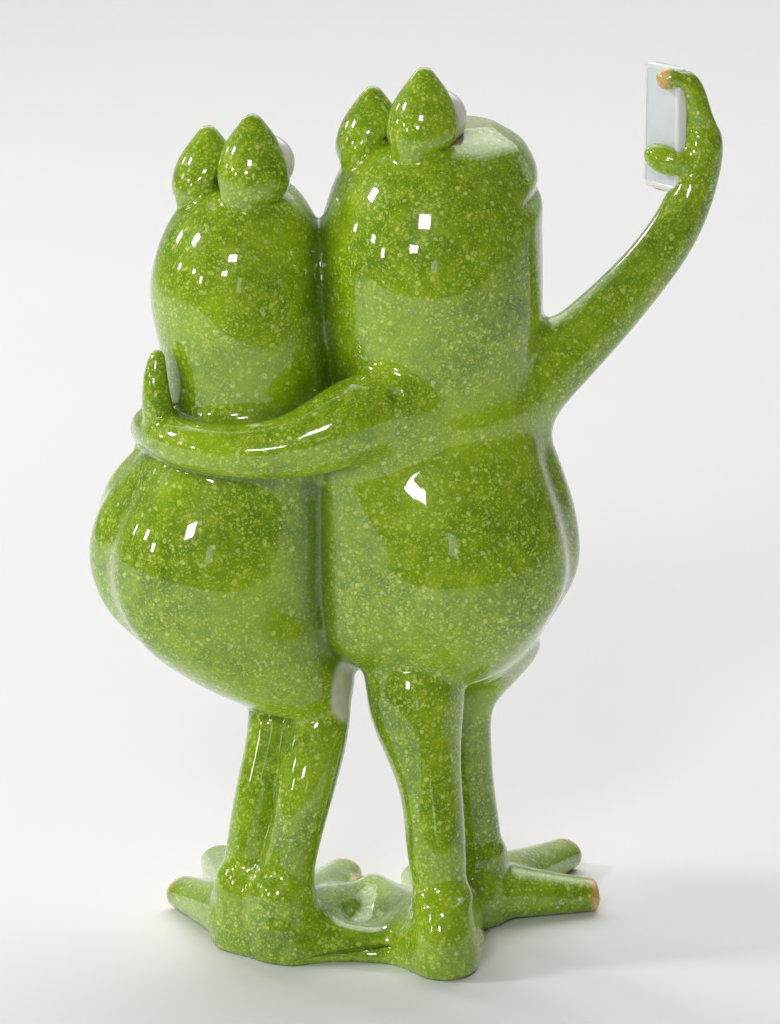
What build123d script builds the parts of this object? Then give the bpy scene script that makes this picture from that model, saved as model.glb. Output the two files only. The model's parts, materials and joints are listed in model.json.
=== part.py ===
"""Two frogs standing arm in arm, the taller one holding a phone up at arm's length.

A cast-resin ornament in glossy green, split into the castings that are pinned and glued together:
heads, torsos, eyes, arms, legs and feet on one foot pad, with wire cores in the slender limbs.
X runs to the pair's right, Y is the way they face and Z is up from the shelf. Sizes are in millimetres.
"""

import os
from math import cos, radians, sin

from build123d import *

os.makedirs("parts", exist_ok=True)

# Stance: both frogs stand on one line, and their poses are shares of the shoulder height
shoulder_height = 100.0
tall_x = 12.0
short_x = -28.0
pair_y = 4.0

# Taller frog
tall_torso_base = 52.0
tall_torso_height = 60.0
tall_torso_width = 49.0
tall_torso_depth = 46.0
tall_head_base = 100.0
tall_head_height = 58.0
tall_head_width = 42.0
tall_head_depth = 43.0
tall_eye_radius = 7.2
tall_eye_height = 19.0
tall_eyeball_radius = 5.5
tall_arm_radius = 7.0
tall_leg_radius = 9.2

# Shorter frog
short_torso_base = 46.0
short_torso_height = 60.0
short_torso_width = 45.2
short_torso_depth = 43.0
short_head_base = 98.0
short_head_height = 50.0
short_head_width = 33.0
short_head_depth = 35.0
short_eye_radius = 7.1
short_eye_height = 18.5
short_eyeball_radius = 5.3
short_arm_radius = 5.4
short_leg_radius = 6.2

# Hands, feet and the pad between the feet
finger_radius = 2.6
toe_radius = 3.2
heel_radius = 6.6
heel_height = 14.0
pad_thickness = 4.0
bridge_radius = 6.0

# Phone in the raised hand
phone_height = 24.0
phone_width = 12.0
phone_thickness = 2.2
phone_corner = 1.6
phone_edge = 0.5
phone_turn = 60.0

# Pins and wire cores that hold the glued castings
pin_radius = 1.5
wire_radius = 1.1
glue_gap = 0.1

# Which way the faces look, in degrees to the right of straight ahead
gaze_turn = 39.0
gaze = Vector(sin(radians(gaze_turn)), cos(radians(gaze_turn)), 0)

# Body outlines: height, half width, half depth, lean to the right and lean forward of each level.
# Heights are shares of the body's height, widths and leans of its half width, depths of its half depth.
TALL_TORSO_SHARES = [
    (0.00, 0.29, 0.30, -0.16, 0.04),
    (0.07, 0.66, 0.64, -0.12, -0.03),
    (0.14, 0.78, 0.76, -0.09, -0.05),
    (0.21, 0.87, 0.87, -0.05, -0.05),
    (0.31, 0.97, 0.97, -0.01, -0.02),
    (0.42, 1.00, 1.00, 0.00, 0.02),
    (0.55, 0.98, 0.97, -0.03, 0.04),
    (0.68, 0.92, 0.87, -0.07, 0.02),
    (0.81, 0.81, 0.74, -0.08, 0.00),
    (0.92, 0.70, 0.62, -0.09, 0.00),
    (1.00, 0.50, 0.44, -0.10, 0.00),
]
TALL_HEAD_SHARES = [
    (0.00, 0.76, 0.64, -0.14, -0.04),
    (0.14, 0.87, 0.75, -0.17, -0.03),
    (0.28, 0.95, 0.87, -0.19, 0.00),
    (0.42, 1.00, 0.96, -0.20, 0.03),
    (0.56, 1.00, 1.00, -0.20, 0.06),
    (0.69, 0.98, 0.99, -0.19, 0.10),
    (0.79, 0.93, 0.94, -0.17, 0.14),
    (0.88, 0.84, 0.86, -0.13, 0.19),
    (0.95, 0.68, 0.70, -0.08, 0.25),
    (1.00, 0.40, 0.42, -0.03, 0.30),
]
SHORT_TORSO_SHARES = [
    (0.00, 0.40, 0.47, 0.46, -0.12),
    (0.05, 0.57, 0.63, 0.35, -0.12),
    (0.10, 0.69, 0.75, 0.25, -0.10),
    (0.17, 0.82, 0.85, 0.10, -0.07),
    (0.245, 0.92, 0.92, -0.08, -0.04),
    (0.35, 0.98, 0.98, -0.24, 0.00),
    (0.485, 1.00, 1.00, -0.31, 0.03),
    (0.61, 0.96, 0.95, -0.29, 0.03),
    (0.74, 0.85, 0.83, -0.20, 0.00),
    (0.865, 0.71, 0.70, -0.06, -0.03),
    (1.00, 0.50, 0.50, 0.03, -0.05),
]
SHORT_HEAD_SHARES = [
    (0.00, 0.82, 0.74, 0.08, -0.04),
    (0.15, 0.92, 0.84, 0.11, -0.03),
    (0.31, 0.97, 0.92, 0.06, 0.00),
    (0.47, 1.00, 0.98, -0.01, 0.03),
    (0.61, 1.00, 1.00, -0.04, 0.07),
    (0.73, 0.94, 0.98, -0.02, 0.10),
    (0.83, 0.84, 0.90, 0.01, 0.14),
    (0.91, 0.70, 0.77, 0.04, 0.18),
    (0.97, 0.50, 0.56, 0.06, 0.22),
    (1.00, 0.28, 0.32, 0.07, 0.25),
]

# Eye sockets: place to the right of the frog's middle, forward, and up, in shares of the shoulder height
TALL_EYE_SHARES = {"right": (-0.057, -0.060, 1.512), "left": (-0.152, 0.020, 1.465)}
SHORT_EYE_SHARES = {"right": (0.025, -0.045, 1.428), "left": (-0.060, 0.025, 1.395)}
# Lid profile: radius and height shares, from the seat up to the pointed crown
LID_SHARES = [(0.78, 0.00), (0.94, 0.16), (1.00, 0.36), (0.80, 0.65), (0.45, 0.85)]
lid_crown_share = 0.15
eyeball_height_share = 0.47
eyeball_forward_share = 0.56

# Limb stations: right, forward, up as shares of the shoulder height, then radius as a share of the limb's
TALL_LEFT_LEG_SHARES = [
    (-0.068, -0.060, 0.620, 0.90),
    (-0.070, -0.076, 0.550, 1.00),
    (-0.068, -0.100, 0.470, 0.97),
    (-0.055, -0.127, 0.400, 0.78),
    (-0.042, -0.150, 0.330, 0.65),
    (-0.034, -0.170, 0.250, 0.62),
    (-0.026, -0.185, 0.170, 0.56),
    (-0.020, -0.200, 0.090, 0.58),
]
TALL_RIGHT_LEG_SHARES = [
    (0.085, 0.050, 0.600, 0.88),
    (0.065, 0.055, 0.530, 0.80),
    (0.030, 0.055, 0.460, 0.62),
    (0.025, 0.055, 0.400, 0.56),
    (0.030, 0.060, 0.320, 0.54),
    (0.038, 0.065, 0.240, 0.54),
    (0.046, 0.070, 0.160, 0.56),
    (0.050, 0.075, 0.090, 0.60),
]
SHORT_LEFT_LEG_SHARES = [
    (0.070, -0.020, 0.520, 0.88),
    (0.052, -0.040, 0.440, 0.74),
    (0.040, -0.055, 0.370, 0.69),
    (0.022, -0.070, 0.290, 0.67),
    (0.010, -0.080, 0.210, 0.69),
    (0.000, -0.085, 0.130, 0.76),
    (0.000, -0.080, 0.080, 0.82),
]
SHORT_RIGHT_LEG_SHARES = [
    (0.145, -0.050, 0.520, 1.03),
    (0.142, -0.072, 0.450, 1.00),
    (0.130, -0.098, 0.380, 0.96),
    (0.115, -0.120, 0.310, 0.88),
    (0.100, -0.130, 0.240, 0.82),
    (0.084, -0.135, 0.170, 0.83),
    (0.075, -0.135, 0.100, 0.92),
]
RAISED_ARM_SHARES = [
    (0.100, 0.010, 1.040, 0.95),
    (0.170, 0.025, 1.105, 1.02),
    (0.240, 0.050, 1.165, 0.90),
    (0.310, 0.080, 1.230, 0.80),
    (0.380, 0.110, 1.305, 0.72),
    (0.435, 0.140, 1.385, 0.66),
    (0.463, 0.160, 1.460, 0.63),
    (0.470, 0.168, 1.520, 0.64),
    (0.466, 0.170, 1.560, 0.46),
]
# The hugging arm joins the frogs: its first share is 1 at the tall frog and 0 at the short one
HUGGING_ARM_SHARES = [
    (0.780, -0.110, 1.065, 1.06),
    (0.600, -0.155, 1.065, 1.12),
    (0.400, -0.185, 1.035, 1.02),
    (0.180, -0.198, 1.010, 0.82),
    (-0.050, -0.190, 1.005, 0.70),
    (-0.240, -0.158, 1.010, 0.65),
    (-0.360, -0.100, 1.017, 0.64),
    (-0.418, -0.028, 1.012, 0.62),
    (-0.425, 0.040, 1.000, 0.50),
]
SHORT_LEFT_ARM_SHARES = [
    (-0.130, 0.040, 0.930, 0.95),
    (-0.200, 0.080, 0.870, 0.95),
    (-0.235, 0.140, 0.800, 0.86),
    (-0.215, 0.200, 0.745, 0.80),
    (-0.160, 0.232, 0.735, 0.76),
    (-0.100, 0.240, 0.745, 0.72),
]
SHORT_RIGHT_ARM_SHARES = [
    (0.100, 0.060, 0.930, 0.95),
    (0.165, 0.120, 0.900, 0.92),
    (0.225, 0.185, 0.860, 0.84),
    (0.285, 0.225, 0.825, 0.78),
    (0.345, 0.238, 0.805, 0.72),
]

# Fingers, thumbs: stations as for their arm, radius as a share of the finger radius
RAISED_HAND_SHARES = {
    "index": [
        (0.465, 0.160, 1.520, 1.15),
        (0.468, 0.152, 1.575, 1.00),
        (0.452, 0.148, 1.625, 0.94),
        (0.422, 0.146, 1.650, 0.90),
        (0.396, 0.146, 1.645, 0.80),
        (0.386, 0.146, 1.640, 0.45),
    ],
    "thumb": [
        (0.455, 0.155, 1.495, 1.25),
        (0.420, 0.148, 1.490, 1.15),
        (0.385, 0.160, 1.500, 1.00),
        (0.370, 0.172, 1.508, 0.50),
    ],
    "middle": [
        (0.470, 0.190, 1.490, 1.20),
        (0.462, 0.250, 1.450, 1.05),
        (0.420, 0.285, 1.432, 0.95),
        (0.386, 0.292, 1.425, 0.50),
    ],
    "little": [
        (0.465, 0.185, 1.490, 1.20),
        (0.488, 0.215, 1.515, 1.08),
        (0.478, 0.255, 1.535, 1.00),
        (0.442, 0.285, 1.540, 0.85),
        (0.428, 0.292, 1.540, 0.45),
    ],
}
HUGGING_HAND_SHARES = {
    "thumb": [
        (-0.365, -0.105, 1.020, 1.30),
        (-0.388, -0.115, 1.080, 1.10),
        (-0.392, -0.112, 1.135, 0.85),
        (-0.380, -0.106, 1.178, 0.45),
    ],
    "upper_finger": [
        (-0.420, 0.010, 1.020, 1.10),
        (-0.422, 0.075, 1.030, 1.00),
        (-0.390, 0.130, 1.030, 0.90),
        (-0.360, 0.155, 1.028, 0.50),
    ],
    "lower_finger": [
        (-0.428, 0.000, 1.000, 1.10),
        (-0.455, 0.060, 0.965, 1.00),
        (-0.445, 0.120, 0.935, 0.90),
        (-0.425, 0.150, 0.922, 0.50),
    ],
}
SHORT_HAND_SHARES = {
    "left": [
        [(-0.110, 0.240, 0.745, 1.05), (-0.060, 0.246, 0.775, 0.95), (-0.030, 0.246, 0.790, 0.50)],
        [(-0.110, 0.240, 0.740, 1.05), (-0.050, 0.250, 0.735, 0.95), (-0.015, 0.252, 0.730, 0.50)],
        [(-0.110, 0.240, 0.735, 1.05), (-0.060, 0.250, 0.700, 0.95), (-0.035, 0.250, 0.680, 0.50)],
    ],
    "right": [
        [(0.335, 0.238, 0.808, 1.05), (0.390, 0.250, 0.825, 0.95), (0.420, 0.256, 0.835, 0.50)],
        [(0.335, 0.238, 0.805, 1.05), (0.395, 0.252, 0.790, 0.95), (0.428, 0.258, 0.782, 0.50)],
        [(0.335, 0.238, 0.800, 1.05), (0.380, 0.250, 0.755, 0.95), (0.402, 0.254, 0.732, 0.50)],
    ],
}

# Feet: ankle then toe tips, right and forward of the frog's middle, in shares of the shoulder height
TALL_FOOT_SHARES = {
    "left": [(-0.018, -0.215), (-0.160, 0.170), (-0.060, 0.245), (0.030, 0.200)],
    "right": [(0.052, 0.080), (0.288, 0.130), (0.240, 0.390), (0.070, 0.420)],
}
SHORT_FOOT_SHARES = {
    "left": [(0.000, -0.065), (-0.133, 0.150), (-0.065, 0.350), (0.060, 0.380)],
    "right": [(0.072, -0.125), (0.080, 0.300), (0.190, 0.265), (0.275, 0.150)],
}
# Each toe from root to its blunt tip: share of the way, radius share of the toe's, centre height share of the radius
TOE_SHARES = [
    (0.00, 1.95, 0.92),
    (0.35, 1.60, 0.92),
    (0.70, 1.25, 0.90),
    (1.00, 1.02, 0.88),
]
toe_width_share = 1.22
# Heel from the floor up: share of its height, and of its radius
HEEL_SHARES = [(0.00, 0.98), (0.30, 1.05), (0.65, 0.96), (1.00, 0.72)]
heel_length_share = 1.25
web_reach_share = 0.66
web_thickness_share = 1.10

# Pad outline: right and forward of the middle between the frogs, in shares of the shoulder height
PAD_SHARES = [
    (-0.23, -0.10),
    (-0.05, -0.16),
    (0.14, -0.20),
    (0.27, -0.02),
    (0.24, 0.20),
    (0.02, 0.27),
    (-0.22, 0.20),
]
# Bridge along the pad's back edge: right, forward, and radius as a share of the bridge's
PAD_BRIDGE_SHARES = [
    (-0.20, -0.115, 1.45),
    (-0.12, -0.128, 1.15),
    (-0.04, -0.140, 0.95),
    (0.04, -0.155, 1.05),
    (0.10, -0.170, 1.30),
]

# Phone centre, right, forward and up of the tall frog's middle, in shares of the shoulder height
PHONE_SHARE = (0.405, 0.190, 1.550)

# Pins and wires by their two ends (the raised arm's wire is bent at its middle point), in the same shares
TALL_PIN_SHARES = {
    "tall_frog_neck_pin": [(-0.015, -0.010, 1.040), (-0.030, 0.000, 1.190)],
    "tall_frog_left_leg_wire": [(-0.022, -0.200, 0.050), (-0.068, -0.085, 0.640)],
    "tall_frog_right_leg_wire": [(0.050, 0.072, 0.050), (0.042, 0.056, 0.640)],
}
SHORT_PIN_SHARES = {
    "short_frog_neck_pin": [(0.015, -0.015, 0.980), (0.005, -0.005, 1.130)],
    "short_frog_left_leg_wire": [(0.000, -0.078, 0.050), (0.074, -0.020, 0.550)],
    "short_frog_right_leg_wire": [(0.072, -0.132, 0.050), (0.145, -0.080, 0.550)],
    "short_frog_left_arm_pin": [(-0.120, 0.030, 0.930), (-0.190, 0.075, 0.880)],
    "short_frog_right_arm_pin": [(0.070, 0.035, 0.940), (0.150, 0.105, 0.905)],
}
HUGGING_PIN_SHARES = [(0.880, -0.060, 1.050), (0.560, -0.160, 1.062)]
RAISED_WIRE_SHARES = [(0.020, -0.010, 0.970), (0.220, 0.044, 1.149), (0.450, 0.150, 1.420)]
wire_bend_share = 0.15
# Spigot under the back of each eyelid: radius and set-back as shares of the lid's radius, depth of its height
spigot_radius_share = 0.25
spigot_back_share = 0.58
spigot_depth_share = 0.15


def tall_place(right, ahead, up):
    """A point of the taller frog, from shares of the shoulder height."""
    return Vector(tall_x + right * shoulder_height, pair_y + ahead * shoulder_height, up * shoulder_height)


def short_place(right, ahead, up):
    """A point of the shorter frog, from shares of the shoulder height."""
    return Vector(short_x + right * shoulder_height, pair_y + ahead * shoulder_height, up * shoulder_height)


def between_place(along, ahead, up):
    """A point on the way from the shorter frog (0) to the taller one (1)."""
    x = short_x + along * (tall_x - short_x)
    return Vector(x, pair_y + ahead * shoulder_height, up * shoulder_height)


def body_blank(shares, x, base, height, width, depth):
    """A torso or head: level ellipses lofted from the bottom to the top."""
    with BuildPart() as blank:
        for up, half_width, half_depth, lean, forward in shares:
            centre = (x + lean * width / 2, pair_y + forward * depth / 2, base + up * height)
            with BuildSketch(Plane(centre)):
                Ellipse(half_width * width / 2, half_depth * depth / 2)
        loft()
    return blank.part


def limb_blank(points, radii):
    """A limb or finger: circles lofted along its stations, each square to the way the limb runs there."""
    with BuildPart() as blank:
        for i, (point, radius) in enumerate(zip(points, radii)):
            before = points[max(i - 1, 0)]
            after = points[min(i + 1, len(points) - 1)]
            with BuildSketch(Plane(point, z_dir=after - before)):
                Circle(radius)
        loft()
    return blank.part


def limb(stations, place, girth):
    """A limb from its table of stations."""
    points = [place(*station[:3]) for station in stations]
    return limb_blank(points, [station[3] * girth for station in stations])


def lid_blank(seat, radius, height):
    """The pointed cap of an eye: a bulb turned round its upright axis."""
    with BuildPart() as blank:
        with BuildSketch(Plane(seat, x_dir=(1, 0, 0), z_dir=(0, -1, 0))):
            with BuildLine():
                outline = [(r * radius, h * height) for r, h in LID_SHARES]
                crown = (lid_crown_share * radius, height)
                Line((0, 0), outline[0])
                Spline(*outline, crown)
                Line(crown, (0, height))
                Line((0, height), (0, 0))
            make_face()
        revolve(axis=Axis(seat, (0, 0, 1)))
    return blank.part


def foot_blank(place, shares):
    """One webbed foot: a heel under the ankle, three toes and the web between them, flat underneath."""
    ankle = place(*shares[0], 0)
    tips = [place(*tip, 0) for tip in shares[1:]]
    with BuildPart() as blank:
        for up, size in HEEL_SHARES:
            with BuildSketch(Plane(ankle + Vector(0, 0, up * heel_height))):
                Ellipse(size * heel_radius, size * heel_radius * heel_length_share)
        loft()
        for tip in tips:
            way = tip - ankle
            for along, size, rise in TOE_SHARES:
                radius = size * toe_radius
                centre = ankle + way * along + Vector(0, 0, rise * radius)
                with BuildSketch(Plane(centre, x_dir=way.cross(Vector(0, 0, 1)), z_dir=way)):
                    Ellipse(radius * toe_width_share, radius)
            loft()
        reach = [ankle + (tip - ankle) * web_reach_share for tip in tips]
        with BuildSketch():
            with BuildLine():
                Polyline(*[(point.X, point.Y) for point in (ankle, *reach)], close=True)
            make_face()
        extrude(amount=toe_radius * web_thickness_share)
        split(bisect_by=Plane.XY, keep=Keep.TOP)
    return blank.part


def pin_blank(points, radius):
    """A round pin or wire through its points, gently bent at those between the ends."""
    with BuildPart() as pin:
        with BuildLine():
            if len(points) > 2:
                way = FilletPolyline(*points, radius=wire_bend_share * shoulder_height)
            else:
                way = Line(*points)
        with BuildSketch(Plane(way @ 0, z_dir=way % 0)):
            Circle(radius)
        sweep(path=way)
    return pin.part


def finish(label, blank, cutters=(), extras=()):
    """Trims a casting where it meets its neighbours, keeps its main solid, adds its spigots and writes it."""
    with BuildPart() as trimmed:
        add(blank)
        for cutter in cutters:
            add(cutter, mode=Mode.SUBTRACT)
    with BuildPart() as piece:
        add(trimmed.part.solids().sort_by(SortBy.VOLUME)[-1])
        for extra in extras:
            add(extra)
    piece.part.label = label
    export_step(piece.part, f"parts/{label}.step")


# Pins and wires, and the holes they are glued into
pins = {}
for place, table in ((tall_place, TALL_PIN_SHARES), (short_place, SHORT_PIN_SHARES)):
    for label, ends in table.items():
        pins[label] = [place(*end) for end in ends]
pins["tall_frog_hugging_arm_pin"] = [between_place(*end) for end in HUGGING_PIN_SHARES]
pins["tall_frog_raised_arm_wire"] = [tall_place(*end) for end in RAISED_WIRE_SHARES]
holes = {}
for label, points in pins.items():
    radius = wire_radius if label.endswith("wire") else pin_radius
    finish(label, pin_blank(points, radius))
    holes[label] = pin_blank(points, radius + glue_gap)
tall_holes = [hole for label, hole in holes.items() if label.startswith("tall")]
short_holes = [hole for label, hole in holes.items() if label.startswith("short")]

# Torsos and heads
tall_torso = body_blank(
    TALL_TORSO_SHARES, tall_x, tall_torso_base, tall_torso_height, tall_torso_width, tall_torso_depth
)
short_torso = body_blank(
    SHORT_TORSO_SHARES, short_x, short_torso_base, short_torso_height, short_torso_width, short_torso_depth
)
tall_head = body_blank(
    TALL_HEAD_SHARES, tall_x, tall_head_base, tall_head_height, tall_head_width, tall_head_depth
)
short_head = body_blank(
    SHORT_HEAD_SHARES, short_x, short_head_base, short_head_height, short_head_width, short_head_depth
)
finish("tall_frog_torso", tall_torso, tall_holes)
finish("short_frog_torso", short_torso, [tall_torso, *short_holes])

# Eyes: a pointed lid on a spigot in the head, with a ball set into its front
tall_eye = (tall_eye_radius, tall_eye_height, tall_eyeball_radius)
short_eye = (short_eye_radius, short_eye_height, short_eyeball_radius)
sockets = {}
for name, place, shares, (radius, height, ball_radius), head in (
    ("tall_frog", tall_place, TALL_EYE_SHARES, tall_eye, tall_head),
    ("short_frog", short_place, SHORT_EYE_SHARES, short_eye, short_head),
):
    sockets[name] = []
    taken = [head]
    for side in ("right", "left"):
        seat = place(*shares[side])
        centre = seat + Vector(0, 0, eyeball_height_share * height) + gaze * (eyeball_forward_share * radius)
        with BuildPart() as eyeball:
            with Locations(centre):
                Sphere(ball_radius)
        lid = lid_blank(seat, radius, height)
        root = seat - gaze * (spigot_back_share * radius) - Vector(0, 0, spigot_depth_share * height)
        top = root + Vector(0, 0, (spigot_depth_share + eyeball_height_share) * height)
        spigot = pin_blank([root, top], spigot_radius_share * radius)
        sockets[name].append(pin_blank([root, top], spigot_radius_share * radius + glue_gap))
        finish(f"{name}_{side}_eyelid", lid, [*taken, eyeball.part], [spigot])
        finish(f"{name}_{side}_eyeball", eyeball.part, [*taken, spigot])
        taken.append(lid)
finish("tall_frog_head", tall_head, [tall_torso, *tall_holes, *sockets["tall_frog"]])
finish(
    "short_frog_head", short_head, [short_torso, tall_torso, tall_head, *short_holes, *sockets["short_frog"]]
)

# Phone, standing on edge and turned to the faces
side_way = (cos(radians(phone_turn)), -sin(radians(phone_turn)), 0)
screen_way = (-sin(radians(phone_turn)), -cos(radians(phone_turn)), 0)
with BuildPart() as phone:
    with BuildSketch(Plane(tall_place(*PHONE_SHARE), x_dir=side_way, z_dir=screen_way)):
        RectangleRounded(phone_width, phone_height, phone_corner)
    extrude(amount=phone_thickness / 2, both=True)
    fillet(phone.faces().sort_by(SortBy.AREA)[-2:].edges(), phone_edge)
finish("phone", phone.part)

# Arms with their hands
with BuildPart() as raised_arm:
    add(limb(RAISED_ARM_SHARES, tall_place, tall_arm_radius))
    for stations in RAISED_HAND_SHARES.values():
        add(limb(stations, tall_place, finger_radius))
finish("tall_frog_raised_arm", raised_arm.part, [tall_torso, tall_head, phone.part, *tall_holes])

with BuildPart() as hugging_arm:
    add(limb(HUGGING_ARM_SHARES, between_place, tall_arm_radius))
    for stations in HUGGING_HAND_SHARES.values():
        add(limb(stations, between_place, finger_radius))
bodies = [tall_torso, tall_head, short_torso, short_head]
finish("tall_frog_hugging_arm", hugging_arm.part, [*bodies, *tall_holes])

for side, stations in (("left", SHORT_LEFT_ARM_SHARES), ("right", SHORT_RIGHT_ARM_SHARES)):
    with BuildPart() as short_arm:
        add(limb(stations, short_place, short_arm_radius))
        for finger in SHORT_HAND_SHARES[side]:
            add(limb(finger, short_place, finger_radius))
    neighbours = [short_torso, tall_torso, hugging_arm.part]
    finish(f"short_frog_{side}_arm", short_arm.part, [*neighbours, *short_holes])

# Feet, each cut back where it meets the ones before it
feet = []
for name, place, table in (
    ("tall_frog", tall_place, TALL_FOOT_SHARES),
    ("short_frog", short_place, SHORT_FOOT_SHARES),
):
    for side, shares in table.items():
        foot = foot_blank(place, shares)
        finish(f"{name}_{side}_foot", foot, [*feet, *tall_holes, *short_holes])
        feet.append(foot)

# Legs, from the torso down into the foot
legs = []
for name, place, stations, girth in (
    ("tall_frog_left", tall_place, TALL_LEFT_LEG_SHARES, tall_leg_radius),
    ("tall_frog_right", tall_place, TALL_RIGHT_LEG_SHARES, tall_leg_radius),
    ("short_frog_right", short_place, SHORT_RIGHT_LEG_SHARES, short_leg_radius),
    ("short_frog_left", short_place, SHORT_LEFT_LEG_SHARES, short_leg_radius),
):
    leg = limb(stations, place, girth)
    finish(f"{name}_leg", leg, [tall_torso, short_torso, *feet, *legs, *tall_holes, *short_holes])
    legs.append(leg)

# Pad that ties the feet together, with a raised bridge along its back edge
with BuildPart() as pad:
    with BuildSketch():
        with BuildLine():
            outline = [(x * shoulder_height, pair_y + y * shoulder_height) for x, y in PAD_SHARES]
            Spline(*outline, periodic=True)
        make_face()
    extrude(amount=pad_thickness)
    bridge = [Vector(x * shoulder_height, pair_y + y * shoulder_height, 0) for x, y, _ in PAD_BRIDGE_SHARES]
    add(limb_blank(bridge, [bridge_radius * size for _, _, size in PAD_BRIDGE_SHARES]))
    split(bisect_by=Plane.XY, keep=Keep.TOP)
finish("foot_pad", pad.part, [*feet, *legs])
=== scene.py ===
import json
from math import cos, pi, radians, sin

import bmesh
import bpy
import numpy as np
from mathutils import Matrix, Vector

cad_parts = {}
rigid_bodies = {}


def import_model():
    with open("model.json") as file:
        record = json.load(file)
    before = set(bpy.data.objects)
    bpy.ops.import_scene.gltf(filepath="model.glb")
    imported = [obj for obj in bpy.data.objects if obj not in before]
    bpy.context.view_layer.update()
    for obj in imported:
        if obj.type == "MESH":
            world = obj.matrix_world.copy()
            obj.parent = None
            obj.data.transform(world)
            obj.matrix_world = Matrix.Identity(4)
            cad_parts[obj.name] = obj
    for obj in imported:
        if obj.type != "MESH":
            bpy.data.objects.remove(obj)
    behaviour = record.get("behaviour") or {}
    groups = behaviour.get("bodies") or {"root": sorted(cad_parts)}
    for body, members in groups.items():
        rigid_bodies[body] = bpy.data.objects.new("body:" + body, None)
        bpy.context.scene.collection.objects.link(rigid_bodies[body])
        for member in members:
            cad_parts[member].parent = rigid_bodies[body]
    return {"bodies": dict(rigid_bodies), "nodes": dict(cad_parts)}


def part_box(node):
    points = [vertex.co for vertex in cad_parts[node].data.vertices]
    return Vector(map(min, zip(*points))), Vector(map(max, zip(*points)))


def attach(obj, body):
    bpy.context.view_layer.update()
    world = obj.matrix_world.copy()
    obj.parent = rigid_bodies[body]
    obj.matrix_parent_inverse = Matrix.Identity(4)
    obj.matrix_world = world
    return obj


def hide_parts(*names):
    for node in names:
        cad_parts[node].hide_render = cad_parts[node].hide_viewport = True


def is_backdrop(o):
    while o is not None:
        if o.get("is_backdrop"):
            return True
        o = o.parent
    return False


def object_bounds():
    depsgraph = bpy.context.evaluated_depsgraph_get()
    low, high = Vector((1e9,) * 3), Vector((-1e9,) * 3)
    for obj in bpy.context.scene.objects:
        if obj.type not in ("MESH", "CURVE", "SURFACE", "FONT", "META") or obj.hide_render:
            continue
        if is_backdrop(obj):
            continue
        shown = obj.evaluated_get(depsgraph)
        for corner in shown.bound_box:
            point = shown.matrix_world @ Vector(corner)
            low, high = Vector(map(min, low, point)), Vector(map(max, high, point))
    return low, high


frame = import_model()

import openvdb
from mathutils import Vector

# The frame alone stays in the scene
keep = {*frame["nodes"].values(), *frame["bodies"].values()}
for thing in [o for o in bpy.data.objects if o not in keep]:
    bpy.data.objects.remove(thing)
cad_low, cad_high = (np.array(corner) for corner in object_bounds())

# Grid on which the glazed skin is shaped, and how far from a casting its distance is known
VOXEL = 0.0006
BAND = 0.0102
MARGIN = 0.006

# Blend radii, in metres: wide where the casting flows on, narrow where the photograph shows a crease
FLOW = 0.0070
LIMB = 0.0052
PAIR = 0.0030
FOOT = 0.0042
FOLD = 0.0010
CREASE = 0.0012
LID_CREASE = 0.0007
# How far a casting's edge turns inwards where it meets the next one
SEAM = 0.0012
# Eyelids: how far under the ball's surface the filling stays, how far the base draws in and over what
# height, the length of the lower end that tells where the spigot is, and the radius kept round it
LID_COVER = 0.0005
LID_DRAW = 0.0011
LID_DRAW_HEIGHT = 0.0020
SPIGOT_END = 0.001
SPIGOT_RADIUS = 0.0036
# The flank rods start at this share of the taller torso's rise
FLANK_START = 0.22
# The shorter frog's hip: depth and reach of the hollow
HIP_DEPTH = 0.0010
HIP_REACH = 0.0070
# Face: depth and half width of the mouth line, rise, distance and width of the lips,
# radius of a nostril and how far it is turned from the gaze, in radians
MOUTH_DEPTH = 0.0010
MOUTH_WIDTH = 0.0008
LIP_RISE = 0.0004
LIP_AWAY = 0.0034
LIP_WIDTH = 0.0022
NOSTRIL_RADIUS = 0.0010
NOSTRIL_TURN = 0.26
# Gilt: how far round the middle of a toe's end it may reach,
# and the smallest flat end that counts, in square metres
TOE_REACH = 0.0048
TOE_END_AREA = 1.2e-5

grid_low = np.floor((cad_low - MARGIN) / VOXEL).astype(int)
grid_size = np.ceil((cad_high + MARGIN) / VOXEL).astype(int) - grid_low


def node_mesh(name):
    """Welded points and triangles of a node."""
    mesh = frame["nodes"][name].data
    points = np.empty(len(mesh.vertices) * 3, np.float32)
    mesh.vertices.foreach_get("co", points)
    mesh.calc_loop_triangles()
    corners = np.empty(len(mesh.loop_triangles) * 3, np.int32)
    mesh.loop_triangles.foreach_get("vertices", corners)
    points = points.reshape(-1, 3)
    _, first, back = np.unique(np.round(points, 7), axis=0, return_index=True, return_inverse=True)
    return points[first], back.reshape(-1)[corners].reshape(-1, 3)


class Casting:
    """Signed distance to one node, on its own block of the grid."""

    def __init__(self, name):
        points, triangles = node_mesh(name)
        self.name = name
        self.low = np.maximum(np.floor((points.min(0) - BAND) / VOXEL).astype(int) - 1, grid_low)
        high = np.minimum(np.ceil((points.max(0) + BAND) / VOXEL).astype(int) + 2, grid_low + grid_size)
        grid = openvdb.FloatGrid.createLevelSetFromPolygons(
            points,
            triangles=triangles.astype(np.uint32),
            transform=openvdb.createLinearTransform(voxelSize=VOXEL),
            halfWidth=BAND / VOXEL,
        )
        self.values = np.full(tuple(high - self.low), BAND, np.float32)
        grid.copyToArray(self.values, ijk=tuple(int(i) for i in self.low))

    def window(self):
        start = self.low - grid_low
        return tuple(slice(int(a), int(a + n)) for a, n in zip(start, self.values.shape))

    def at(self, points):
        return sample(self.values, self.low, points, BAND)


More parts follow.
